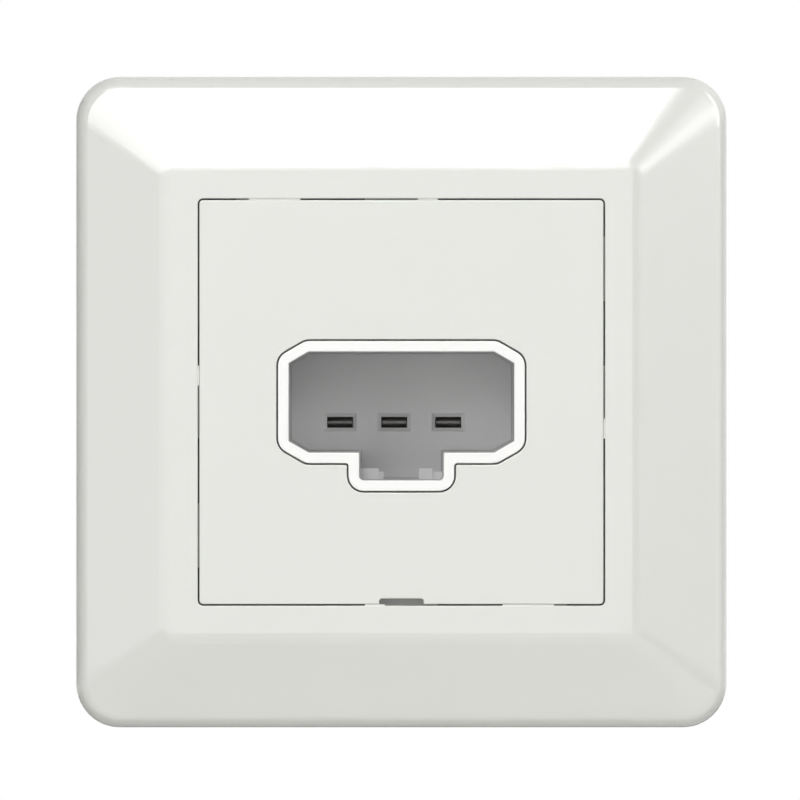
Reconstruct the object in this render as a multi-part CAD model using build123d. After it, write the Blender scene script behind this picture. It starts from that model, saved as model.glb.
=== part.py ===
"""Flush wall outlet for connecting a luminaire.

A bevelled cover frame and a square centre plate surround a keyed plug well. Behind them a steel
mounting plate carries the socket, its three contacts and the push-in terminals.

X points right and Z up as the outlet sits on the wall, and the front faces -Y. The wall plane is
y = 0 and the origin is at the middle of the square. All sizes are in millimetres.
"""

import os
from math import atan2, pi, radians, sin, tan

from build123d import *

os.makedirs("parts", exist_ok=True)

# Cover frame
frame_side = 85.0
frame_height = 10.0
frame_corner_radius = 5.7
frame_wall = 1.8
frame_edge_round = 2.4
front_land = 4.35
front_corner_radius = 1.8
front_edge_round = 4.0
bevel_angle = 22.0
skirt_wall = 1.6
gusset_wall = 1.0
gusset_spacing = 40.0
gusset_clearance = 1.2

# Centre plate and its seat in the frame
plate_side = 52.7
plate_thickness = 2.2
plate_corner_radius = 0.5
plate_gap = 0.2
edge_round = 0.15
lug_width = 9.5
lug_reach = 1.3
lug_thickness = 1.8
rib_clearance = 0.03
rib_depth = 0.15
end_rib_width = 2.6
shoulder_rib_depth = 1.6
shoulder_rib_inner = 13.2
shoulder_rib_width = 8.4
wide_rib_width = 6.7
notch_width = 5.8
notch_depth = 0.72
notch_round = 0.4
stiffener_wall = 1.2
stiffener_depth = 3.0
stiffener_clearance = 0.35
leg_width = 7.0
leg_thickness = 1.6
leg_spacing = 30.0
hook_reach = 0.9
hook_length = 1.8
hook_clearance = 0.05

# Plug well
mouth_width = 29.4
mouth_height = 13.16
mouth_slope_width = 2.6
mouth_slope_height = 1.5
key_width = 11.0
key_drop = 10.2
mouth_corner = 0.2
key_corner = 0.6
collar_wall = 1.4
collar_corner = 2.0
collar_inner_corner = 0.45
collar_gap = 0.2
well_depth = 20.0
well_draft = 0.3
lip_depth = 1.2
liner_wall = 0.65
liner_fit = 0.05
latch_ramp_start = 8.0
latch_ramp_length = 4.0
latch_crest_length = 2.0
latch_height = 1.52
latch_step_height = 1.1
left_latch_width = 2.5
left_step_width = 0.65
right_latch_width = 1.75
right_step_width = 1.45

# Housing behind the mounting plate
body_side_margin = 7.4
body_low_margin = 6.4
housing_wall = 1.5
body_corner = 3.0
flange_thickness = 2.0
block_depth = 10.0
base_depth = 14.0

# Contact slots in the floor of the well
slot_width = 3.4
slot_height = 1.42
slot_pitch = 7.1
slot_row_x = -0.95
slot_row_z = -2.66
slot_bevel = 0.5
slot_bevel_depth = 0.3
floor_wall = 1.3

# Contacts
contact_sheet = 0.4
contact_bend = 0.7
leaf_clearance = 0.1
leaf_recess = 0.9
leaf_edge = 0.11
leaf_bevel_length = 0.5
leaf_gap = 0.03
leaf_grip_length = 1.0
leaf_spread = 1.6
leaf_spread_length = 3.0
chamber_side_gap = 0.9
chamber_margin = 0.6
web_clearance = 0.2
window_height = 6.3
window_clearance = 0.15
tail_taper = 2.6
busbar_margin = 0.7
busbar_end_gap = 2.4
recess_clearance = 0.15

# Terminals
rear_wall = 2.4
entry_side = 4.8
entry_divider = 0.6
entry_bevel = 0.25
pocket_margin = 0.2
pole_divider = 2.4
release_width = 3.0
release_height = 1.4
release_gap = 1.2
release_headroom = 1.1
spring_sheet = 0.35
spring_inset = 0.3
spring_bend = 1.2
spring_clearance = 0.1
spring_front_gap = 3.5
spring_rear_gap = 0.5
spring_turn = 130.0
core_margin = 2.2
core_depth = 8.0
core_rib = 2.0
base_edge_round = 1.0

# Mounting plate
steel_margin = 5.2
steel_sheet = 1.2
steel_corner = 4.0
steel_bend = 1.4
steel_fold = 3.6
window_gap = 0.5
box_screw_spacing = 60.0
box_slot_length = 7.0
box_slot_width = 4.2
leg_window_gap = 0.3

# Assembly screws
screw_offset = 4.1
screw_drop = 6.0
screw_core = 2.6
screw_bore = 3.2
screw_fit = 0.05
screw_head = 5.2
screw_head_height = 1.8
screw_head_round = 0.8
screw_grip = 8.0
screw_point = 1.2
screw_boss = 3.2
recess_length = 3.0
recess_width = 0.6
recess_depth = 1.0

# Depths that follow from the sizes
front_y = -frame_height
plate_back_y = front_y + plate_thickness
lug_back_y = plate_back_y + lug_thickness
floor_y = front_y + well_depth
lip_back_y = front_y + lip_depth
block_back_y = floor_y + block_depth
base_back_y = block_back_y + base_depth
pocket_back_y = base_back_y - rear_wall

# Frame, plate and steel sizes that follow
opening_side = plate_side + 2 * plate_gap
front_side = opening_side + 2 * front_land
frame_edge_height = frame_height - (frame_side - front_side) / 2 * tan(radians(bevel_angle))
leg_outer_z = opening_side / 2 - lug_reach - stiffener_clearance
leg_inner_z = leg_outer_z - leg_thickness
steel_side = frame_side - 2 * (frame_wall + steel_margin)

# Contact sizes that follow
leaf_width = slot_width - 2 * leaf_clearance
chamber_width = slot_width + 2 * chamber_side_gap
chamber_height = 2 * leaf_spread + contact_sheet + 2 * chamber_margin
web_width = chamber_width - 2 * web_clearance
tip_y = floor_y + leaf_recess
grip_y = tip_y + leaf_grip_length
spread_y = grip_y + leaf_spread_length
web_y = block_back_y - recess_clearance - contact_sheet / 2
web_low_z = slot_row_z - leaf_spread + contact_bend
window_low_z = slot_row_z + leaf_spread - contact_bend
window_top_z = window_low_z + window_height
taper_top_z = window_top_z + tail_taper
busbar_z = taper_top_z + contact_bend
busbar_top_z = busbar_z + contact_sheet / 2
busbar_end_y = pocket_back_y - busbar_end_gap

# Terminal sizes that follow
entry_spacing = entry_side + entry_divider
spring_width = entry_side - 2 * spring_inset
pocket_width = entry_spacing + entry_side + 2 * pocket_margin
busbar_width = pocket_width - 2 * busbar_margin
pole_pitch = pocket_width + pole_divider
pocket_low_z = busbar_z - contact_sheet / 2 - spring_clearance
entry_top_z = busbar_top_z + entry_side
release_low_z = entry_top_z + release_gap
release_top_z = release_low_z + release_height
pocket_top_z = release_top_z + release_headroom

# Housing outline and the places of what repeats
collar_half = mouth_width / 2 + collar_wall
body_width = 2 * (collar_half + body_side_margin)
body_top_z = pocket_top_z + housing_wall
body_low_z = -key_drop - collar_wall - body_low_margin
screw_x = collar_half + screw_offset
slot_places = [slot_row_x + step * slot_pitch for step in (-1, 0, 1)]
pole_places = [step * pole_pitch for step in (-1, 0, 1)]
screw_places = [(side * screw_x, -screw_drop) for side in (-1, 1)]


def front_plane(y):
    """Plane at depth y that faces the viewer, drawn with X to the right and Z up."""
    return Plane((0, y, 0), x_dir=(1, 0, 0), z_dir=(0, -1, 0))


def slab(outline, front, back):
    """Front-view outline filled from depth front to depth back."""
    return extrude(front_plane(back) * outline, back - front)


def span(left, right, low, high):
    """Front-view rectangle between two X and two Z values."""
    return Pos((left + right) / 2, (low + high) / 2) * Rectangle(right - left, high - low)


def side_strip(path, sheet, width, x):
    """Sheet strip of the given width whose side view follows a path of (Y, Z) points."""
    return Pos(x, 0, 0) * extrude(Plane.YZ * trace(path, sheet), width / 2, both=True)


def plug_outline(grow, corner, key_round, inner_round):
    """Keyed outline of the plug, grown evenly outwards by a wall or a gap."""
    slope = atan2(mouth_slope_height, mouth_slope_width)
    side = mouth_width / 2 + grow
    side_z = mouth_height / 2 - mouth_slope_height + grow * tan(pi / 4 - slope / 2)
    top = mouth_height / 2 + grow
    top_x = mouth_width / 2 - mouth_slope_width + grow * tan(slope / 2)
    key_x = key_width / 2 + grow
    right = [
        (key_x, -key_drop - grow, key_round),
        (key_x, -top, inner_round),
        (top_x, -top, corner),
        (side, -side_z, corner),
        (side, side_z, corner),
        (top_x, top, corner),
    ]
    left = [(-x, z, rounding) for x, z, rounding in reversed(right)]
    points = [(x, z) for x, z, rounding in right + left]
    roundings = [rounding for x, z, rounding in right + left]
    return make_face(FilletPolyline(*points, radius=roundings, close=True))


def mouth_outline(grow):
    """Inside of the plug well."""
    return plug_outline(grow, mouth_corner, key_corner, mouth_corner)


def collar_outline(gap):
    """Outside of the well's collar, or the opening that clears it by a gap."""
    inner_round = collar_inner_corner - min(gap, collar_inner_corner / 2)
    return plug_outline(collar_wall + gap, collar_corner + gap, collar_corner + gap, inner_round)


def body_outline(inset=0):
    """Outline shared by the socket shroud, the contact block and the rear base."""
    width = body_width - 2 * inset
    height = body_top_z - body_low_z - 2 * inset
    outline = RectangleRounded(width, height, body_corner - inset)
    return Pos(0, (body_top_z + body_low_z) / 2) * outline


def screw_holes(diameter):
    """Front view of the two assembly screw holes."""
    return Sketch() + [Pos(*place) * Circle(diameter / 2) for place in screw_places]


def bevelled_block(inset):
    """Square block with a bevelled front, set in from every face of the cover frame."""
    half_angle = radians(bevel_angle) / 2
    foot = frame_side - 2 * inset
    front = front_side - 2 * inset * tan(half_angle)
    edge_height = frame_edge_height - inset * tan(pi / 4 - half_angle)
    foot_outline = RectangleRounded(foot, foot, frame_corner_radius - inset)
    front_outline = RectangleRounded(front, front, front_corner_radius)
    sections = [
        front_plane(0) * foot_outline,
        front_plane(-edge_height) * foot_outline,
        front_plane(front_y + inset) * front_outline,
    ]
    return loft(sections, ruled=True)


def gussets():
    """Thin ribs behind the bevel that tie the skirt to the outer wall."""
    foot_y = -steel_fold - gusset_clearance
    inner = opening_side / 2 + skirt_wall / 2
    ribs = []
    for middle in (-gusset_spacing / 2, gusset_spacing / 2):
        outline = span(middle - gusset_wall / 2, middle + gusset_wall / 2, inner, frame_side / 2)
        ribs.append(slab(outline, front_y, foot_y))
    inside = bevelled_block(frame_wall / 2)
    return [Rot(0, turn, 0) * (rib & inside) for turn in (0, 90, 180, 270) for rib in ribs]


def cover_frame():
    """Moulded frame: a hollow bevelled square with lugs that the centre plate holds down."""
    frame = bevelled_block(0)
    shoulder_edges = frame.edges().group_by(Axis.Y)[2]
    frame = fillet(shoulder_edges, frame_edge_round)
    front_edges = frame.edges().group_by(Axis.Y)[0]
    frame = fillet(front_edges, front_edge_round)
    skirt_side = opening_side + 2 * skirt_wall
    skirt = slab(Rectangle(skirt_side, skirt_side), front_y, lug_back_y)
    frame -= bevelled_block(frame_wall) - skirt
    frame += gussets()
    opening = RectangleRounded(opening_side, opening_side, plate_corner_radius + plate_gap)
    frame -= slab(opening, front_y, 0)
    reach = (opening_side + front_land) / 2
    front_edges = frame.edges().group_by(Axis.Y)[0]
    rim_edges = front_edges.filter_by_position(Axis.X, -reach, reach)
    frame = fillet(rim_edges.filter_by_position(Axis.Z, -reach, reach), edge_round)
    return frame + seat_features()


def seat_features():
    """Lugs under the edge of the centre plate and centring ribs in the gap round it."""
    wall_z = opening_side / 2
    root_z = wall_z + skirt_wall / 2
    rib_z = wall_z - (plate_gap - rib_clearance)
    lug_half = lug_width / 2
    lug = span(-lug_half, lug_half, wall_z - lug_reach, root_z)
    end_rib = span(lug_half - end_rib_width, lug_half, rib_z, root_z)
    shoulder_end = -shoulder_rib_inner - shoulder_rib_width
    shoulder_rib = span(shoulder_end, -shoulder_rib_inner, rib_z, root_z)
    wide_rib = span(-shoulder_rib_inner - wide_rib_width, -shoulder_rib_inner, rib_z, root_z)
    each_side = slab(lug, plate_back_y, lug_back_y)
    each_side += slab(end_rib, front_y + rib_depth, lug_back_y)
    each_side += slab(shoulder_rib, front_y + shoulder_rib_depth, lug_back_y)
    top_and_bottom = slab(wide_rib, front_y + rib_depth, lug_back_y)
    features = [Rot(0, turn, 0) * each_side for turn in (0, 90, 180, 270)]
    features += [Rot(0, turn, 0) * top_and_bottom for turn in (0, 180)]
    return features


def snap_leg():
    """Upper right snap leg of the centre plate, hooked behind the mounting plate."""
    hook_end = hook_clearance + hook_length
    hook_top_z = leg_outer_z + hook_reach
    side_view = make_face(
        Polyline(
            (plate_back_y, leg_inner_z),
            (hook_end, leg_inner_z),
            (hook_end, (leg_inner_z + leg_outer_z) / 2),
            (hook_clearance + hook_length / 4, hook_top_z),
            (hook_clearance, hook_top_z),
            (hook_clearance, leg_outer_z),
            (plate_back_y, leg_outer_z),
            close=True,
        )
    )
    return Pos(leg_spacing / 2, 0, 0) * extrude(Plane.YZ * side_view, leg_width / 2, both=True)


def centre_plate():
    """Square plate flush with the frame, with a stiffening wall and four snap legs behind."""
    outline = RectangleRounded(plate_side, plate_side, plate_corner_radius)
    outline -= Pos(0, -plate_side / 2) * RectangleRounded(notch_width, 2 * notch_depth, notch_round)
    outline -= collar_outline(collar_gap)
    plate = slab(outline, front_y, plate_back_y)
    plate = fillet(plate.edges().group_by(Axis.Y)[0], edge_round)
    wall_side = 2 * leg_outer_z
    hollow_side = wall_side - 2 * stiffener_wall
    wall = Rectangle(wall_side, wall_side) - Rectangle(hollow_side, hollow_side)
    plate += slab(wall, plate_back_y, plate_back_y + stiffener_depth)
    leg = snap_leg()
    legs = [leg, mirror(leg, Plane.YZ)]
    return plate + legs + [mirror(leg, Plane.XY) for leg in legs]


def latch_ramp(left, right, height):
    """Strip on the floor of the key that the plug's latch rides over."""
    start = front_y + latch_ramp_start
    crest = start + latch_ramp_length
    end = crest + latch_crest_length
    root = -key_drop - liner_wall / 2
    side_view = make_face(
        Polyline(
            (start, root),
            (start, -key_drop),
            (crest, height - key_drop),
            (end, height - key_drop),
            (end, root),
            close=True,
        )
    )
    return Pos(left, 0, 0) * extrude(Plane.YZ * side_view, right - left)


def latch_ramps():
    """Two stepped ramps, one in each lower corner of the key."""
    left = -key_width / 2
    left_step = left + left_latch_width
    right = key_width / 2
    right_step = right - right_step_width
    return [
        latch_ramp(left, left_step, latch_height),
        latch_ramp(left_step, left_step + left_step_width, latch_step_height),
        latch_ramp(right_step - right_latch_width, right_step, latch_height),
        latch_ramp(right_step, right, latch_step_height),
    ]


def shroud_hollow():
    """Space between the well's tube and the outer wall of the shroud, open at the back."""
    outline = body_outline(housing_wall) - collar_outline(0) - screw_holes(2 * screw_boss)
    return slab(outline, flange_thickness, floor_y)


def socket_shroud():
    """White collar of the well: a keyed tube with a lip, in a shell behind the mounting plate."""
    shroud = slab(collar_outline(0), front_y, floor_y)
    shroud += slab(body_outline(), 0, floor_y) - shroud_hollow()
    shroud -= slab(screw_holes(screw_bore), 0, floor_y)
    shroud -= slab(mouth_outline(0), front_y, lip_back_y)
    shroud -= slab(mouth_outline(liner_wall + liner_fit), lip_back_y, floor_y)
    return fillet(shroud.edges().group_by(Axis.Y)[0], edge_round)


def well_liner():
    """Grey lining of the well, from its floor to the lip, with the latch ramps in its key."""
    front = lip_back_y + liner_fit
    liner = slab(mouth_outline(liner_wall), front, floor_y)
    mouth = front_plane(front) * mouth_outline(0)
    floor = front_plane(floor_y) * mouth_outline(-well_draft)
    return liner - loft([mouth, floor], ruled=True) + latch_ramps()


def tail_outline(slot_x, pole_x, grow):
    """Front view of a contact's web and tail, up to the bend into its busbar."""
    web_half = web_width / 2 + grow
    busbar_half = busbar_width / 2 + grow
    return make_face(
        Polyline(
            (slot_x - web_half, web_low_z - grow),
            (slot_x + web_half, web_low_z - grow),
            (slot_x + web_half, window_top_z),
            (pole_x + busbar_half, taper_top_z),
            (pole_x + busbar_half, busbar_top_z + grow),
            (pole_x - busbar_half, busbar_top_z + grow),
            (pole_x - busbar_half, taper_top_z),
            (slot_x - web_half, window_top_z),
            close=True,
        )
    )


def leaf_bevel(slot_x, side):
    """Wedge taken off the outer corner of a leaf's front edge."""
    inner = leaf_gap / 2 + leaf_edge
    outer = leaf_gap / 2 + contact_sheet
    side_view = make_face(
        Polyline(
            (tip_y, slot_row_z + side * inner),
            (tip_y, slot_row_z + side * outer),
            (tip_y + leaf_bevel_length, slot_row_z + side * outer),
            close=True,
        )
    )
    return Pos(slot_x, 0, 0) * extrude(Plane.YZ * side_view, slot_width / 2, both=True)


def contact(slot_x, pole_x):
    """Sheet contact: two leaves that grip the pin, a tail up from them and a busbar behind."""
    nip = (leaf_gap + contact_sheet) / 2
    strip_path = FilletPolyline(
        (tip_y, slot_row_z - nip),
        (grip_y, slot_row_z - nip),
        (spread_y, slot_row_z - leaf_spread),
        (web_y, slot_row_z - leaf_spread),
        (web_y, busbar_z),
        (busbar_end_y, busbar_z),
        radius=contact_bend,
    )
    strip = side_strip(strip_path, contact_sheet, body_width, 0)
    leaf_low_z = slot_row_z - leaf_spread - contact_sheet
    lower_leaf = span(slot_x - leaf_width / 2, slot_x + leaf_width / 2, leaf_low_z, slot_row_z)
    lower_leaf = slab(lower_leaf, tip_y, web_y + contact_sheet)
    tail = slab(tail_outline(slot_x, pole_x, 0), web_y - contact_sheet, busbar_end_y)
    window_half = leaf_width / 2 + window_clearance
    window = span(slot_x - window_half, slot_x + window_half, window_low_z, window_top_z)
    upper_path = FilletPolyline(
        (web_y, slot_row_z),
        (web_y, slot_row_z + leaf_spread),
        (spread_y, slot_row_z + leaf_spread),
        (grip_y, slot_row_z + nip),
        (tip_y, slot_row_z + nip),
        radius=contact_bend,
    )
    piece = strip & (lower_leaf + tail)
    piece -= slab(window, web_y - contact_sheet, web_y + contact_sheet)
    piece += side_strip(upper_path, contact_sheet, leaf_width, slot_x)
    return piece - [leaf_bevel(slot_x, side) for side in (-1, 1)]


def slot_cut(slot_x):
    """Contact slot through the floor of the well, with a shallow lead-in and its chamber."""
    place = Pos(slot_x, slot_row_z)
    slot = place * Rectangle(slot_width, slot_height)
    mouth = place * Rectangle(slot_width + 2 * slot_bevel, slot_height + 2 * slot_bevel)
    chamber = place * Rectangle(chamber_width, chamber_height)
    lead_in = loft([front_plane(floor_y) * mouth, front_plane(floor_y + slot_bevel_depth) * slot])
    cut = lead_in + slab(slot, floor_y + slot_bevel_depth, floor_y + floor_wall)
    return cut + slab(chamber, floor_y + floor_wall, block_back_y)


def contact_block():
    """Grey block that lines the well and whose chambers hold the contacts behind its floor."""
    block = slab(body_outline(), floor_y, block_back_y) + well_liner()
    block -= slab(screw_holes(screw_bore), floor_y, block_back_y)
    recess_y = web_y - contact_sheet / 2 - recess_clearance
    for slot_x, pole_x in zip(slot_places, pole_places):
        block -= slot_cut(slot_x)
        block -= slab(tail_outline(slot_x, pole_x, recess_clearance), recess_y, block_back_y)
    return block


def wire_entry(x):
    """Square wire entry through the rear wall, with a lead-in and the release slot above it."""
    place = Pos(x, busbar_top_z + entry_side / 2)
    hole = place * Rectangle(entry_side, entry_side)
    mouth_side = entry_side + 2 * entry_bevel
    mouth = place * Rectangle(mouth_side, mouth_side)
    release_half = release_width / 2
    release = span(x - release_half, x + release_half, release_low_z, release_top_z)
    cut = slab(hole + release, pocket_back_y, base_back_y)
    lead_in = [front_plane(base_back_y - entry_bevel) * hole, front_plane(base_back_y) * mouth]
    return cut + loft(lead_in)


def core_recesses():
    """Four recesses in the lower rear face that keep the moulding's walls even."""
    half = screw_x - screw_boss
    low = body_low_z + core_margin
    high = pocket_low_z - core_margin
    middle = (low + high) / 2
    rib = core_rib / 2
    outline = Sketch()
    for left, right in ((-half, -rib), (rib, half)):
        outline += span(left, right, low, middle - rib)
        outline += span(left, right, middle + rib, high)
    return slab(outline, base_back_y - core_depth, base_back_y)


def bend_relief(pole_x):
    """Chamfer on the pocket's front lower edge that clears the bend of the busbar."""
    side_view = make_face(
        Polyline(
            (block_back_y, pocket_low_z),
            (block_back_y + contact_bend, pocket_low_z),
            (block_back_y, pocket_low_z - contact_bend),
            close=True,
        )
    )
    return Pos(pole_x, 0, 0) * extrude(Plane.YZ * side_view, pocket_width / 2, both=True)


def rear_base():
    """Terminal housing: a pocket for each pole, open to the front, with two wire entries."""
    base = slab(body_outline(), block_back_y, base_back_y)
    base = fillet(base.edges().group_by(Axis.Y)[-1], base_edge_round)
    for pole_x in pole_places:
        half = pocket_width / 2
        pocket = span(pole_x - half, pole_x + half, pocket_low_z, pocket_top_z)
        base -= slab(pocket, block_back_y, pocket_back_y) + bend_relief(pole_x)
        for side in (-1, 1):
            base -= wire_entry(pole_x + side * entry_spacing / 2)
    pilot_end = block_back_y + screw_grip + screw_fit
    base -= slab(screw_holes(screw_core + 2 * screw_fit), block_back_y, pilot_end)
    return base - core_recesses()


def clamp_spring(x):
    """Leaf spring of one wire entry: a leg on the ceiling, a loop and a leg onto the busbar."""
    ceiling = pocket_top_z - spring_clearance - spring_sheet / 2
    turn_y = pocket_back_y - spring_rear_gap - spring_sheet / 2 - spring_bend
    grip_z = busbar_top_z + spring_clearance + spring_sheet / 2
    leg = Line((block_back_y + spring_front_gap, ceiling), (turn_y, ceiling))
    loop = JernArc(leg @ 1, leg % 1, spring_bend, -spring_turn)
    grip_length = ((loop @ 1).Y - grip_z) / sin(radians(spring_turn))
    grip = Line(loop @ 1, loop @ 1 + (loop % 1) * grip_length)
    return side_strip([leg, loop, grip], spring_sheet, spring_width, x)


def mounting_plate():
    """Steel plate with its upper and lower edges folded forward, slotted for the wall box."""
    middle = steel_sheet / 2
    half = steel_side / 2 - middle
    fold_path = FilletPolyline(
        (-steel_fold, -half),
        (-middle, -half),
        (-middle, half),
        (-steel_fold, half),
        radius=steel_bend,
    )
    flat_height = 2 * (half - steel_bend)
    plate = slab(RectangleRounded(steel_side, flat_height, steel_corner), -steel_sheet, 0)
    plate += side_strip(fold_path, steel_sheet, steel_side - 2 * steel_corner, 0)
    box_slot = Pos(box_screw_spacing / 2, 0) * SlotOverall(box_slot_length, box_slot_width)
    holes = collar_outline(window_gap) + screw_holes(screw_bore)
    holes += [Rot(0, 0, turn) * box_slot for turn in (0, 90, 180, 270)]
    leg_x = leg_spacing / 2
    leg_half = leg_width / 2 + leg_window_gap
    window_low = leg_inner_z - hook_reach - leg_window_gap
    window_top = leg_outer_z + leg_window_gap
    window = span(leg_x - leg_half, leg_x + leg_half, window_low, window_top)
    windows = [window, mirror(window, Plane.YZ)]
    holes += windows + [mirror(each, Plane.XZ) for each in windows]
    return plate - slab(holes, -steel_sheet, 0)


def assembly_screw():
    """Pan head screw along Y, from the front of the mounting plate into the rear base."""
    seat_y = -steel_sheet
    head_y = seat_y - screw_head_height
    end_y = block_back_y + screw_grip
    core = screw_core / 2
    profile = FilletPolyline(
        (0, head_y),
        (screw_head / 2, head_y),
        (screw_head / 2, seat_y),
        (core, seat_y),
        (core, end_y - screw_point),
        (0, end_y),
        radius=[0, screw_head_round, 0, 0, 0, 0],
        close=True,
    )
    screw = revolve(make_face(profile), Axis.Y)
    cross = Rectangle(recess_length, recess_width) + Rectangle(recess_width, recess_length)
    return screw - slab(cross, head_y, head_y + recess_depth)


nodes = {
    "cover_frame": cover_frame(),
    "centre_plate": centre_plate(),
    "socket_shroud": socket_shroud(),
    "contact_block": contact_block(),
    "rear_base": rear_base(),
    "mounting_plate": mounting_plate(),
}
screw = assembly_screw()
nodes["assembly_screws"] = Compound(children=[Pos(x, 0, z) * screw for x, z in screw_places])
for pole, slot_x, pole_x in zip(("line", "neutral", "earth"), slot_places, pole_places):
    nodes[f"{pole}_contact"] = contact(slot_x, pole_x)
    for number, side in ((1, -1), (2, 1)):
        nodes[f"{pole}_spring_{number}"] = clamp_spring(pole_x + side * entry_spacing / 2)

for name, piece in nodes.items():
    export_step(piece, f"parts/{name}.step")
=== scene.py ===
# %% [markdown]
# # A lighting connection outlet
# This flush wall outlet has a square cover frame with a wide bevel, a centre plate that sits flush
# in it, and a keyed well with a white collar, a grey lining and three contact slots. The CAD model
# already holds every piece at its real size. It comes in as one object for each piece, so Blender's
# share is the finish of each surface, the light and the camera. The front faces -Y, with Z up.

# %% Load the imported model
from math import cos, pi, radians, sin

import bmesh
import bpy
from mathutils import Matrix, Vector


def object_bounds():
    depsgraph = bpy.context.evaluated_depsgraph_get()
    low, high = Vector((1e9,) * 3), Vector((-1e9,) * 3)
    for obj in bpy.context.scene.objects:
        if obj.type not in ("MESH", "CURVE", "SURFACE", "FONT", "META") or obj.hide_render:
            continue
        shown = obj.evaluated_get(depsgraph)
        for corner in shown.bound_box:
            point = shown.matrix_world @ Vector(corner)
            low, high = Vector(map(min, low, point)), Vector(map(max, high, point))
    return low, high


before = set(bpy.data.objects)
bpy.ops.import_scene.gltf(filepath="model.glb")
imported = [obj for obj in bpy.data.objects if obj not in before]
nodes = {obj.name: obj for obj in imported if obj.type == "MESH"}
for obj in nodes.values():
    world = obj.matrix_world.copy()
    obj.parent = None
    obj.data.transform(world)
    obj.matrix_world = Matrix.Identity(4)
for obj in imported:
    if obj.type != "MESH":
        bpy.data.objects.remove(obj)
cad_low, cad_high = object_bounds()
MM = 0.001
print("Pieces:", ", ".join(sorted(nodes)))
print("The outlet measures", [round(side / MM, 2) for side in cad_high - cad_low], "mm")

# %% [markdown]
# ## Helpers for the finishes
# Every finish here is a small graph of shader nodes. The shader wants colours as linear numbers,
# but a designer notes them as sRGB hex, so one function converts them. Another adds a node with its
# settings and links in one call, which keeps a graph readable from top to bottom. Textures read
# Object coordinates. These are metres on every piece, so a pattern's scale is worked out from a
# real size in millimetres.

# %% Colour, node and texture scale


def linear(hex_colour):
    """Linear RGBA of an sRGB colour such as #E2E3DE."""
    channels = []
    for start in (1, 3, 5):
        value = int(hex_colour[start:start + 2], 16) / 255
        channels.append(value / 12.92 if value <= 0.04045 else ((value + 0.055) / 1.055) ** 2.4)
    return (*channels, 1.0)


def add_node(tree, kind, inputs=None, **settings):
    """New node with its settings. An input is a value, or the output socket that feeds it."""
    node = tree.nodes.new(kind)
    for name, value in settings.items():
        setattr(node, name, value)
    for name, value in (inputs or {}).items():
        if isinstance(value, bpy.types.NodeSocket):
            tree.links.new(value, node.inputs[name])
        else:
            node.inputs[name].default_value = value
    return node


def new_finish(name):
    """Empty material and its node tree."""
    material = bpy.data.materials.new(name)
    material.use_nodes = True
    material.node_tree.nodes.clear()
    return material, material.node_tree


def per_metre(size_mm):
    """Texture scale at which a feature is about this wide."""
    return 1 / (size_mm * MM)


print("The cover's white is", [round(value, 3) for value in linear("#E2E3DE")], "in linear light")

# %% [markdown]
# ## Colour of the cover
# The frame and the plate are injection moulded in white ASA, a plastic that stays white in
# daylight. Its white is a touch green beside paper. A single plain colour would look flat, so a
# wide noise lets the white drift a little, as the melt does when it flows into the mould.

# %% Moulded ASA: colour
cover_asa, tree = new_finish("moulded_asa_gloss")
place = add_node(tree, "ShaderNodeTexCoord").outputs["Object"]
melt_flow_mm = 14.0
flow = add_node(tree, "ShaderNodeTexNoise", {
    "Vector": place, "Scale": per_metre(melt_flow_mm), "Detail": 3.0,
})
white = add_node(tree, "ShaderNodeMix", {
    "Factor": flow.outputs["Fac"], "A": linear("#E2E3DE"), "B": linear("#E4E5E0"),
}, data_type="RGBA")
print("The white drifts over about", melt_flow_mm, "mm")

# %% [markdown]
# ## Painted shade in the gap
# The gap round the plate and the lever notch are painted a darker grey: painted shade, which makes
# the gap line dark. A painted mask would need a UV map. Here the shaded band is found by place: a
# square ring on the plate's edge, times a band below the front face. The larger of the distances
# from the middle, sideways and upwards, makes the ring square.

# %% Moulded ASA: painted shade in the gap
ring_mm, ring_reach_mm = 26.1, 0.7
gap_shade_depth_mm, gap_shade_reach_mm = 1.3, 1.0
spot = add_node(tree, "ShaderNodeSeparateXYZ", {"Vector": place})
aside = add_node(tree, "ShaderNodeMath", {0: spot.outputs["X"]}, operation="ABSOLUTE")
upward = add_node(tree, "ShaderNodeMath", {0: spot.outputs["Z"]}, operation="ABSOLUTE")
outward = add_node(tree, "ShaderNodeMath", {
    0: aside.outputs[0], 1: upward.outputs[0],
}, operation="MAXIMUM")
ring = add_node(tree, "ShaderNodeMath", {
    0: outward.outputs[0], 1: ring_mm * MM, 2: ring_reach_mm * MM,
}, operation="COMPARE")
deep = add_node(tree, "ShaderNodeMath", {
    0: spot.outputs["Y"], 1: cad_low.y + gap_shade_depth_mm * MM, 2: gap_shade_reach_mm * MM,
}, operation="COMPARE")
painted_gap_shade = add_node(tree, "ShaderNodeMath", {
    0: ring.outputs[0], 1: deep.outputs[0],
}, operation="MULTIPLY")
# Painted shade: inside the ring and the band, the white turns to the grey #B0B0AC, so the gap line
# looks dark.
colour = add_node(tree, "ShaderNodeMix", {
    "Factor": painted_gap_shade.outputs[0], "A": white.outputs["Result"], "B": linear("#B0B0AC"),
}, data_type="RGBA")
# The print below gives where the painted gap shade lies.
print("Dust lies", ring_mm, "mm from the middle and", gap_shade_depth_mm, "mm below the front")

# %% [markdown]
# ## Gloss of the cover
# The mould is polished, so the bevels mirror the softboxes with a soft edge. Even a polished skin
# has patches that shine a little less, so one noise varies the roughness. A finer one is a faint
# bump. It could be modelled as a real displacement, but it is far too small for that. The real
# skin is finer still, and is drawn half a millimetre wide so that it shows.

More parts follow.
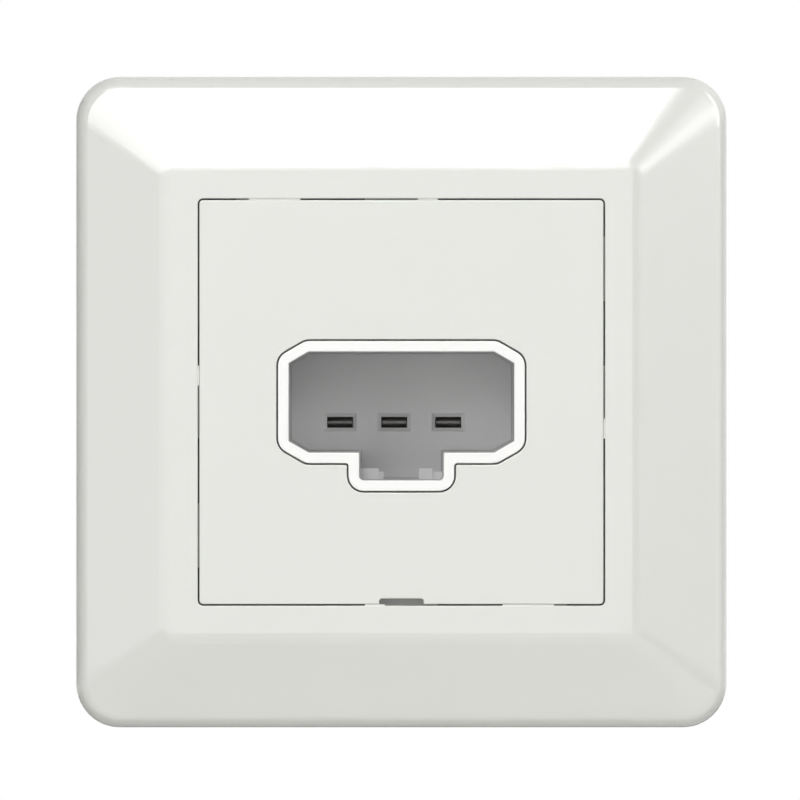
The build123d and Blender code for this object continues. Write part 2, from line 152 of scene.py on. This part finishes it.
# %% Moulded ASA: gloss and skin
gloss_patch_mm, skin_mm, relief_mm = 3.0, 0.5, 0.1
gloss = add_node(tree, "ShaderNodeTexNoise", {"Vector": place, "Scale": per_metre(gloss_patch_mm)})
rough = add_node(tree, "ShaderNodeMapRange", {
    "Value": gloss.outputs["Fac"], "To Min": 0.14, "To Max": 0.18,
})
skin = add_node(tree, "ShaderNodeTexNoise", {"Vector": place, "Scale": per_metre(skin_mm)})
bump = add_node(tree, "ShaderNodeBump", {
    "Height": skin.outputs["Fac"], "Strength": 0.01, "Distance": relief_mm * MM,
})
shader = add_node(tree, "ShaderNodeBsdfPrincipled", {
    "Base Color": colour.outputs["Result"],
    "Roughness": rough.outputs["Result"],
    "Normal": bump.outputs["Normal"],
    "IOR": 1.52,
})
add_node(tree, "ShaderNodeOutputMaterial", {"Surface": shader.outputs["BSDF"]})
print(cover_asa.name, "has", len(tree.nodes), "nodes")

# %% [markdown]
# ## Finish of the collar
# The keyed collar round the well is a brighter white than the cover, in PBT, a tough plastic for
# electrical parts. Its mould is spark eroded, not polished, which leaves a fine even grain and a
# satin look. Two noises are enough here: a wide one for the flow of the melt, and a fine one that
# gives the eroded grain both its roughness and its bump. The real grain is about a tenth of a
# millimetre wide, and is drawn coarser so that it shows.

# %% Moulded PBT, white and satin
collar_pbt, tree = new_finish("moulded_pbt_white")
place = add_node(tree, "ShaderNodeTexCoord").outputs["Object"]
melt_flow_mm, erosion_mm = 6.0, 0.25
flow = add_node(tree, "ShaderNodeTexNoise", {
    "Vector": place, "Scale": per_metre(melt_flow_mm), "Detail": 3.0,
})
colour = add_node(tree, "ShaderNodeMix", {
    "Factor": flow.outputs["Fac"], "A": linear("#F8F8F6"), "B": linear("#FAFAF8"),
}, data_type="RGBA")
grain = add_node(tree, "ShaderNodeTexNoise", {"Vector": place, "Scale": per_metre(erosion_mm)})
rough = add_node(tree, "ShaderNodeMapRange", {
    "Value": grain.outputs["Fac"], "To Min": 0.31, "To Max": 0.39,
})
bump = add_node(tree, "ShaderNodeBump", {
    "Height": grain.outputs["Fac"], "Strength": 0.05, "Distance": relief_mm * MM,
})
shader = add_node(tree, "ShaderNodeBsdfPrincipled", {
    "Base Color": colour.outputs["Result"],
    "Roughness": rough.outputs["Result"],
    "Normal": bump.outputs["Normal"],
    "IOR": 1.55,
})
add_node(tree, "ShaderNodeOutputMaterial", {"Surface": shader.outputs["BSDF"]})
print(collar_pbt.name, "has", len(tree.nodes), "nodes")

# %% [markdown]
# ## Finish of the contact block
# The floor and the lining of the well are one grey block that carries live contacts, so it is
# moulded in PBT with glass fibre. The fibres lie near the skin and mottle the grey, and they take
# the gloss off. A stretched noise would draw single fibres, but at this size they only show as a
# fleck, so a fine noise stands for them. The walls of the well are painted a darker grey than the
# floor: painted shade, for the walls that lie in shade deep in the well. The surface normal tells
# walls from floor: it has no Y part on a wall.

# %% Glass-filled PBT: colour and painted wall shade


def away_from_front(tree, front, away):
    """Factor that is 0 up to the normal's Y part called front, and 1 from away on."""
    normal = add_node(tree, "ShaderNodeNewGeometry").outputs["Normal"]
    facing = add_node(tree, "ShaderNodeSeparateXYZ", {"Vector": normal})
    turned = add_node(tree, "ShaderNodeMapRange", {
        "Value": facing.outputs["Y"], "From Min": front, "From Max": away,
    })
    return turned.outputs["Result"]


block_pbt, tree = new_finish("glass_filled_pbt_grey")
place = add_node(tree, "ShaderNodeTexCoord").outputs["Object"]
melt_flow_mm = 5.0
flow = add_node(tree, "ShaderNodeTexNoise", {
    "Vector": place, "Scale": per_metre(melt_flow_mm), "Detail": 3.0,
})
open_face = add_node(tree, "ShaderNodeMix", {
    "Factor": flow.outputs["Fac"], "A": linear("#DDDDDD"), "B": linear("#E0E0E0"),
}, data_type="RGBA")
# Painted shade: faces whose normal has no Y part, the walls of the well, take the darker grey
# #BCBCBC.
painted_wall_shade = away_from_front(tree, front=-0.2, away=-0.05)
colour = add_node(tree, "ShaderNodeMix", {
    "Factor": painted_wall_shade, "A": open_face.outputs["Result"], "B": linear("#BCBCBC"),
}, data_type="RGBA")
print("The grey drifts over about", melt_flow_mm, "mm")

# %% [markdown]
# ## Fleck of the contact block
# One fine noise stands for the fibres. It is as wide as a fibre is long, because a fibre's own
# width is too small to show. It feeds the roughness and the bump alike, because a fibre that comes
# near the skin both lifts it and dulls it.

# %% Glass-filled PBT: fleck
fleck_mm = 0.35
fleck = add_node(tree, "ShaderNodeTexNoise", {
    "Vector": place, "Scale": per_metre(fleck_mm), "Detail": 1.0,
})
rough = add_node(tree, "ShaderNodeMapRange", {
    "Value": fleck.outputs["Fac"], "To Min": 0.44, "To Max": 0.56,
})
bump = add_node(tree, "ShaderNodeBump", {
    "Height": fleck.outputs["Fac"], "Strength": 0.06, "Distance": relief_mm * MM,
})
shader = add_node(tree, "ShaderNodeBsdfPrincipled", {
    "Base Color": colour.outputs["Result"],
    "Roughness": rough.outputs["Result"],
    "Normal": bump.outputs["Normal"],
    "IOR": 1.58,
})
add_node(tree, "ShaderNodeOutputMaterial", {"Surface": shader.outputs["BSDF"]})
print(block_pbt.name, "has", len(tree.nodes), "nodes")

# %% [markdown]
# ## Finish of the terminal housing
# The housing behind the block is moulded in undyed polyamide. It is off-white with a hint of yellow
# and looks slightly cloudy. Nobody sees it once the outlet is on the wall, so its mould has the
# coarsest grain of all, and it is drawn coarser too. The nodes are those of the collar with other
# values.

# %% Moulded polyamide, undyed
base_polyamide, tree = new_finish("moulded_polyamide")
place = add_node(tree, "ShaderNodeTexCoord").outputs["Object"]
cloud_mm, erosion_mm = 8.0, 0.4
cloud = add_node(tree, "ShaderNodeTexNoise", {
    "Vector": place, "Scale": per_metre(cloud_mm), "Detail": 4.0,
})
colour = add_node(tree, "ShaderNodeMix", {
    "Factor": cloud.outputs["Fac"], "A": linear("#D6D5CE"), "B": linear("#DFDED8"),
}, data_type="RGBA")
grain = add_node(tree, "ShaderNodeTexNoise", {"Vector": place, "Scale": per_metre(erosion_mm)})
rough = add_node(tree, "ShaderNodeMapRange", {
    "Value": grain.outputs["Fac"], "To Min": 0.45, "To Max": 0.55,
})
bump = add_node(tree, "ShaderNodeBump", {
    "Height": grain.outputs["Fac"], "Strength": 0.1, "Distance": relief_mm * MM,
})
shader = add_node(tree, "ShaderNodeBsdfPrincipled", {
    "Base Color": colour.outputs["Result"],
    "Roughness": rough.outputs["Result"],
    "Normal": bump.outputs["Normal"],
    "IOR": 1.53,
})
add_node(tree, "ShaderNodeOutputMaterial", {"Surface": shader.outputs["BSDF"]})
print(base_polyamide.name, "has", len(tree.nodes), "nodes")

# %% [markdown]
# ## Finish of the mounting plate and screws
# The plate is cut and folded from rolled steel and zinc plated afterwards. The rolling leaves a
# long grain, and the plating a bluish grey with cloudy patches. A noise that is stretched along X
# draws the grain, coarser than the real one so that it shows. An anisotropic shader would draw it
# too, but it needs a direction on every face. The side of the steel that faces -Y, seen through the
# gap round the centre plate, is painted dark grey as painted shade, so the gap looks dark. The
# normal finds that side: it points to -Y.

# %% Rolled steel, zinc plated
zinc_steel, tree = new_finish("zinc_plated_steel")
place = add_node(tree, "ShaderNodeTexCoord").outputs["Object"]
grain_mm, grain_stretch, patch_mm, metal_relief_mm = 0.4, 20.0, 9.0, 0.05
front_normal_y, side_normal_y = -0.95, -0.75
along = add_node(tree, "ShaderNodeMapping", {
    "Vector": place, "Scale": (1 / grain_stretch, 1.0, 1.0),
})
grain = add_node(tree, "ShaderNodeTexNoise", {
    "Vector": along.outputs["Vector"], "Scale": per_metre(grain_mm), "Detail": 4.0,
})
patch = add_node(tree, "ShaderNodeTexNoise", {
    "Vector": place, "Scale": per_metre(patch_mm), "Detail": 2.0,
})
bright = add_node(tree, "ShaderNodeMix", {
    "Factor": patch.outputs["Fac"], "A": linear("#BCC2C7"), "B": linear("#D3D6D7"),
}, data_type="RGBA")
# Painted shade: faces toward -Y take the dark grey #55585A, and the other faces take the zinc
# plating.
painted_front_shade_fade = away_from_front(tree, front_normal_y, side_normal_y)
colour = add_node(tree, "ShaderNodeMix", {
    "Factor": painted_front_shade_fade, "A": linear("#55585A"), "B": bright.outputs["Result"],
}, data_type="RGBA")
rough = add_node(tree, "ShaderNodeMapRange", {
    "Value": grain.outputs["Fac"], "To Min": 0.28, "To Max": 0.44,
})
bump = add_node(tree, "ShaderNodeBump", {
    "Height": grain.outputs["Fac"], "Strength": 0.08, "Distance": metal_relief_mm * MM,
})
shader = add_node(tree, "ShaderNodeBsdfPrincipled", {
    "Base Color": colour.outputs["Result"],
    "Metallic": 1.0,
    "Roughness": rough.outputs["Result"],
    "Normal": bump.outputs["Normal"],
})
add_node(tree, "ShaderNodeOutputMaterial", {"Surface": shader.outputs["BSDF"]})
print(zinc_steel.name, "has", len(tree.nodes), "nodes")

# %% [markdown]
# ## Finish of the contacts
# Each contact is punched from bronze strip that was tinned on the reel. Its faces keep the grey of
# the tin, while the punched front edges are bare bronze, painted a dark grey that is painted shade
# of the deep slot, so they show in the slots as a thin dim line. As on the steel, the normal tells
# them apart: it is near -Y on a front edge. The rolls of the press draw faint streaks along the
# strip, which runs up and down here. They too are drawn coarser than they are.

# %% Bronze strip, tinned
tinned_bronze, tree = new_finish("tinned_bronze")
place = add_node(tree, "ShaderNodeTexCoord").outputs["Object"]
streak_mm, streak_stretch, patch_mm = 0.3, 15.0, 3.0
along = add_node(tree, "ShaderNodeMapping", {
    "Vector": place, "Scale": (1.0, 1.0, 1 / streak_stretch),
})
streak = add_node(tree, "ShaderNodeTexNoise", {
    "Vector": along.outputs["Vector"], "Scale": per_metre(streak_mm), "Detail": 3.0,
})
patch = add_node(tree, "ShaderNodeTexNoise", {
    "Vector": place, "Scale": per_metre(patch_mm), "Detail": 2.0,
})
tin = add_node(tree, "ShaderNodeMix", {
    "Factor": patch.outputs["Fac"], "A": linear("#B9B8B4"), "B": linear("#C6C5C1"),
}, data_type="RGBA")
# Painted shade: front edges facing -Y take the dark grey #5E5D5B in place of the tin.
painted_edge_shade_fade = away_from_front(tree, front_normal_y, side_normal_y)
colour = add_node(tree, "ShaderNodeMix", {
    "Factor": painted_edge_shade_fade, "A": linear("#5E5D5B"), "B": tin.outputs["Result"],
}, data_type="RGBA")
rough = add_node(tree, "ShaderNodeMapRange", {
    "Value": streak.outputs["Fac"], "To Min": 0.4, "To Max": 0.5,
})
bump = add_node(tree, "ShaderNodeBump", {
    "Height": streak.outputs["Fac"], "Strength": 0.06, "Distance": metal_relief_mm * MM,
})
shader = add_node(tree, "ShaderNodeBsdfPrincipled", {
    "Base Color": colour.outputs["Result"],
    "Metallic": 1.0,
    "Roughness": rough.outputs["Result"],
    "Normal": bump.outputs["Normal"],
})
add_node(tree, "ShaderNodeOutputMaterial", {"Surface": shader.outputs["BSDF"]})
print(tinned_bronze.name, "has", len(tree.nodes), "nodes")

# %% [markdown]
# ## Finish of the clamp springs
# The springs of the push-in terminals are bent from polished stainless strip. Tempering leaves a
# breath of straw colour in places. They are seen through the wire entries, as a bright edge. Their
# polishing marks run along Y, so the noise is stretched that way, again coarser than the real ones.

# %% Stainless spring steel
spring_steel, tree = new_finish("stainless_spring_steel")
place = add_node(tree, "ShaderNodeTexCoord").outputs["Object"]
polish_mm, polish_stretch, temper_mm = 0.25, 12.0, 2.5
along = add_node(tree, "ShaderNodeMapping", {
    "Vector": place, "Scale": (1.0, 1 / polish_stretch, 1.0),
})
polish = add_node(tree, "ShaderNodeTexNoise", {
    "Vector": along.outputs["Vector"], "Scale": per_metre(polish_mm), "Detail": 3.0,
})
temper = add_node(tree, "ShaderNodeTexNoise", {
    "Vector": place, "Scale": per_metre(temper_mm), "Detail": 2.0,
})
colour = add_node(tree, "ShaderNodeMix", {
    "Factor": temper.outputs["Fac"], "A": linear("#B9B7B0"), "B": linear("#C8C8CA"),
}, data_type="RGBA")
rough = add_node(tree, "ShaderNodeMapRange", {
    "Value": polish.outputs["Fac"], "To Min": 0.2, "To Max": 0.32,
})
bump = add_node(tree, "ShaderNodeBump", {
    "Height": polish.outputs["Fac"], "Strength": 0.05, "Distance": metal_relief_mm * MM,
})
shader = add_node(tree, "ShaderNodeBsdfPrincipled", {
    "Base Color": colour.outputs["Result"],
    "Metallic": 1.0,
    "Roughness": rough.outputs["Result"],
    "Normal": bump.outputs["Normal"],
})
add_node(tree, "ShaderNodeOutputMaterial", {"Surface": shader.outputs["BSDF"]})
print(spring_steel.name, "has", len(tree.nodes), "nodes")

# %% [markdown]
# ## Each piece gets its finish
# A CAD piece arrives with one material slot, so it is enough to put the finish into that slot. The
# shapes stay as they are: the CAD meshes are fine and carry the normals of the exact surfaces, so
# their fillets mirror the lamps without facets.

# %% Put the finishes on
finishes = {
    "cover_frame": cover_asa,
    "centre_plate": cover_asa,
    "socket_shroud": collar_pbt,
    "contact_block": block_pbt,
    "rear_base": base_polyamide,
    "mounting_plate": zinc_steel,
    "assembly_screws": zinc_steel,
}
for name in nodes:
    if name.endswith("_contact"):
        finishes[name] = tinned_bronze
    elif "_spring_" in name:
        finishes[name] = spring_steel
for name, finish in finishes.items():
    nodes[name].material_slots[0].material = finish
    print(f"{name:18s}{finish.name}")

# %% [markdown]
# ## Floor
# A studio floor of pale paper lies six centimetres below the outlet. It is out of the picture from
# the front, but it throws a little light up at the lower edges, and it takes the shadow in the
# views from above.

# %% Sheet for the floor
floor_drop_mm, floor_reach = 60, 1.5
floor_z = cad_low.z - floor_drop_mm * MM
shape = bmesh.new()
bmesh.ops.create_grid(shape, x_segments=1, y_segments=1, size=floor_reach)
bmesh.ops.translate(shape, verts=shape.verts, vec=(0, 0, floor_z))
floor = bpy.data.objects.new("floor", bpy.data.meshes.new("floor"))
shape.to_mesh(floor.data)
shape.free()
bpy.context.scene.collection.objects.link(floor)
print("The floor lies at z =", round(floor_z / MM, 1), "mm")

# %% [markdown]
# ## Paper of the floor
# The gloss of the lower bevel should mirror plain white, as the others do, so the Light Path node
# swaps the paper for a white glow where a glossy ray meets it. A camera ray gets a share of the
# glow, which keeps the paper pale and leaves the shadow on it. From below, the camera looks through
# the back of the paper.

# %% Paper
paper, tree = new_finish("floor_paper")
rays = add_node(tree, "ShaderNodeLightPath")
lit = add_node(tree, "ShaderNodeBsdfDiffuse", {"Color": linear("#F4F4F2")})
glow = add_node(tree, "ShaderNodeEmission", {"Color": linear("#FFFFFF"), "Strength": 1.0})
paleness = 0.6
camera_share = add_node(tree, "ShaderNodeMath", {
    0: rays.outputs["Is Camera Ray"], 1: paleness,
}, operation="MULTIPLY")
share = add_node(tree, "ShaderNodeMath", {
    0: rays.outputs["Is Glossy Ray"], 1: camera_share.outputs[0],
}, operation="MAXIMUM")
swap = add_node(tree, "ShaderNodeMixShader", {
    0: share.outputs[0], 1: lit.outputs["BSDF"], 2: glow.outputs["Emission"],
})
back = add_node(tree, "ShaderNodeNewGeometry").outputs["Backfacing"]
from_below = add_node(tree, "ShaderNodeMath", {
    0: back, 1: rays.outputs["Is Camera Ray"],
}, operation="MULTIPLY")
clear = add_node(tree, "ShaderNodeBsdfTransparent")
sheet = add_node(tree, "ShaderNodeMixShader", {
    0: from_below.outputs[0], 1: swap.outputs["Shader"], 2: clear.outputs["BSDF"],
})
add_node(tree, "ShaderNodeOutputMaterial", {"Surface": sheet.outputs["Shader"]})
floor.data.materials.append(paper)
print(paper.name, "has", len(tree.nodes), "nodes")

# %% [markdown]
# ## Softboxes
# A glossy bevel shows where the lamps are. The upper bevel and the upper left corner are white, so
# they mirror large softboxes above the camera. The upper right corner has one light streak, from a
# long lamp at the right. The other bevels mirror the dimmer room. Each lamp is therefore given by
# where its face lies and how bright that face looks, and brightness times pi times the area is the
# power that Blender asks for. Most lamps lie in one upright plane a metre in front of the outlet.
# The strips and cards at the right stand on a sphere round it and look at its middle.

# %% Lamps that light and are mirrored


def softbox(name, centre, width, height, brightness, aim, gloss=True, diffuse=True):
    """Rectangular lamp of a given face brightness, which looks at aim or else along +Y.

    Without gloss it is not mirrored, and without diffuse it is mirrored and lights nothing.
    """
    lamp = bpy.data.lights.new(name, "AREA")
    lamp.shape = "RECTANGLE"
    lamp.size = width
    lamp.size_y = height
    lamp.energy = brightness * pi * width * height
    box = bpy.data.objects.new(name, lamp)
    box.location = centre
    look = Vector((0, 1, 0)) if aim is None else aim - centre
    box.rotation_euler = look.to_track_quat("-Z", "Y").to_euler()
    box.visible_camera = False
    box.visible_glossy = gloss
    box.visible_diffuse = diffuse
    bpy.context.scene.collection.objects.link(box)
    print(f"{name:18s}{lamp.energy:8.2f} W")


def around(turn, tilt, distance=1.5):
    """Point at a tilt from the line to the camera, turned up from the right by turn degrees."""
    turn, tilt = radians(turn), radians(tilt)
    return distance * Vector((sin(tilt) * cos(turn), -cos(tilt), sin(tilt) * sin(turn)))


middle = Vector((0, 0, 0))
panel_y = -1.0
for name, centre, width, height, brightness, aim in (
    ("overhead_softbox", Vector((-0.26, panel_y, 1.00)), 0.72, 0.60, 9.2, None),
    ("left_softbox", Vector((-0.81, panel_y, 0.41)), 0.38, 0.42, 5.95, None),
    ("left_fill", Vector((-0.86, panel_y, -0.05)), 0.48, 0.10, 2.3, None),
    ("right_strip_low", around(8, 53), 1.03, 0.21, 2.0, middle),
    ("right_strip_high", around(19.5, 52), 1.09, 0.27, 5.2, middle),
):
    softbox(name, centre, width, height, brightness, aim)

# %% [markdown]
# ## Bright cards
# A photographer also hangs white cards where only the gloss should be brighter. A lamp that is
# hidden from diffuse rays does the same. Those named end prolong another one, most of them with
# less brightness, so that its mirror image fades and has no hard edge. The front card covers the
# front fill of the next step, which is hidden from the gloss. With both in one plane the card was
# not mirrored, so it stands a step in front.

# %% Cards for the gloss alone
card_step = 0.02
for name, centre, width, height, brightness, aim in (
    ("overhead_card", Vector((-0.26, panel_y, 0.48)), 0.72, 0.44, 7.2, None),
    ("overhead_end", Vector((0.16, panel_y, 0.78)), 0.12, 1.04, 2.5, None),
    ("left_end", Vector((-0.84, panel_y, 0.13)), 0.34, 0.14, 2.4, None),
    ("front_card", Vector((-0.225, panel_y + card_step, 0.07)), 0.735, 0.333, 1.37, None),
    ("right_card", around(21.5, 69), 0.475, 0.93, 5.0, middle),
    ("right_card_end", around(41, 69), 0.475, 0.45, 5.0, middle),
    ("right_strip_end", around(31, 50), 1.00, 0.30, 2.6, middle),
):
    softbox(name, centre, width, height, brightness, aim, diffuse=False)

# %% [markdown]
# ## Fills
# The floor of the well sees only a small window of the room, so lamps straight ahead and low at
# both sides have to light it evenly. Their mirror images would spoil the gloss, so they are hidden
# from glossy rays. The two at the rear light the terminals in the views from behind.

# %% Lamps for the shading alone
for name, centre, width, height, brightness, aim in (
    ("front_fill", Vector((-0.225, panel_y, 0.07)), 0.75, 0.34, 0.70, None),
    ("left_low_fill", Vector((-0.775, panel_y, 0.03)), 0.35, 0.25, 3.3, None),
    ("right_low_fill", Vector((0.98, panel_y, 0.03)), 0.55, 0.25, 1.6, None),
    ("rear_kicker", around(45, 110), 0.97, 0.97, 3.4, middle),
    ("rear_softbox", Vector((0.0, 1.5, 0.05)), 1.20, 0.30, 7.0, middle),
):
    softbox(name, centre, width, height, brightness, aim, gloss=False)

# %% [markdown]
# ## Black cards
# A white object on a white ground loses its edges, so a photographer stands black cards beside it.
# Cards at the left, at the right and below darken the rounded foot of the frame. One in front draws
# the thin dark line along the right of the plateau, and one on the floor draws the faint crease in
# the lower right corner. They should only be mirrored, not take light away, so they are hidden from
# the camera and from diffuse rays, and cast no shadow.

# %% Cards for the edges
card_black, tree = new_finish("card_black")
shader = add_node(tree, "ShaderNodeBsdfDiffuse", {"Color": linear("#050505")})
add_node(tree, "ShaderNodeOutputMaterial", {"Surface": shader.outputs["BSDF"]})


def black_card(name, corner, along, across):
    """Card that starts as the edge from its corner along one side and is extruded across."""
    shape = bmesh.new()
    start = Vector(corner)
    side = shape.edges.new([shape.verts.new(start), shape.verts.new(start + Vector(along))])
    drawn = bmesh.ops.extrude_edge_only(shape, edges=[side])["geom"]
    far = [item for item in drawn if isinstance(item, bmesh.types.BMVert)]
    bmesh.ops.translate(shape, verts=far, vec=across)
    card = bpy.data.objects.new(name, bpy.data.meshes.new(name))
    shape.to_mesh(card.data)
    shape.free()
    bpy.context.scene.collection.objects.link(card)
    card.data.materials.append(card_black)
    card.visible_camera = False
    card.visible_diffuse = False
    card.visible_shadow = False
    print(f"{name:18s}{Vector(along).length:5.2f} x {Vector(across).length:4.2f} m")


on_floor = floor_z + MM
black_card("card_left", corner=(-1.0, -0.4, floor_z), along=(0, 1.9, 0), across=(0, 0, 0.7))
black_card("card_front", corner=(0.15, panel_y, floor_z), along=(0.35, 0, 0), across=(0, 0, 0.34))
black_card("card_right", corner=(1.0, 0.05, floor_z), along=(0, 0.4, 0), across=(0, 0, 0.25))
black_card("card_corner", corner=(0.276, -0.147, on_floor), along=(0.98, -1.02, 0),
           across=(-0.173, -0.166, 0))
black_card("card_low", corner=(-0.4, -0.03, on_floor), along=(0.8, 0, 0), across=(0, 0.33, 0))

# %% [markdown]
# ## World
# The picture has a white background, and the gloss mirrors a white room. A world that bright would
# also light the outlet evenly and wash out the shading of the bevels. Light Path tells the rays
# apart: a camera, glossy or transmission ray meets white, and a ray that gathers light meets black.

# %% White room for the eye alone
world = bpy.data.worlds.new("studio")
bpy.context.scene.world = world
world.use_nodes = True
tree = world.node_tree
tree.nodes.clear()
rays = add_node(tree, "ShaderNodeLightPath")
direct = add_node(tree, "ShaderNodeMath", {
    0: rays.outputs["Is Camera Ray"], 1: rays.outputs["Is Glossy Ray"],
}, operation="MAXIMUM")
seen = add_node(tree, "ShaderNodeMath", {
    0: direct.outputs[0], 1: rays.outputs["Is Transmission Ray"],
}, operation="MAXIMUM")
room = add_node(tree, "ShaderNodeBackground", {
    "Color": linear("#FFFFFF"), "Strength": seen.outputs[0],
})
add_node(tree, "ShaderNodeOutputWorld", {"Surface": room.outputs["Background"]})
print("World:", world.name)

# %% [markdown]
# ## Camera
# The photo looks straight at the outlet, and its square shows no perspective at all. An
# orthographic camera would do that, but a very long lens from far away gives the same picture and
# also works in the other views. The distance follows from the width that the photo shows at one
# depth, a few millimetres in front of the wall.

# %% Long lens from the front
photo_width_mm, photo_y_mm = 104.55, -3.7
centre_x_mm, centre_z_mm = -0.18, 0.27
lens_mm, sensor_mm = 1000.0, 36.0
distance = photo_width_mm * MM * lens_mm / sensor_mm
camera = bpy.data.objects.new("camera", bpy.data.cameras.new("camera"))
camera.data.lens = lens_mm
camera.data.sensor_width = sensor_mm
camera.location = (centre_x_mm * MM, photo_y_mm * MM - distance, centre_z_mm * MM)
camera.rotation_euler = (pi / 2, 0, 0)
bpy.context.scene.collection.objects.link(camera)
bpy.context.scene.camera = camera
bpy.context.scene.view_settings.view_transform = "Standard"
print("The camera stands", round(distance, 2), "m in front of the outlet")
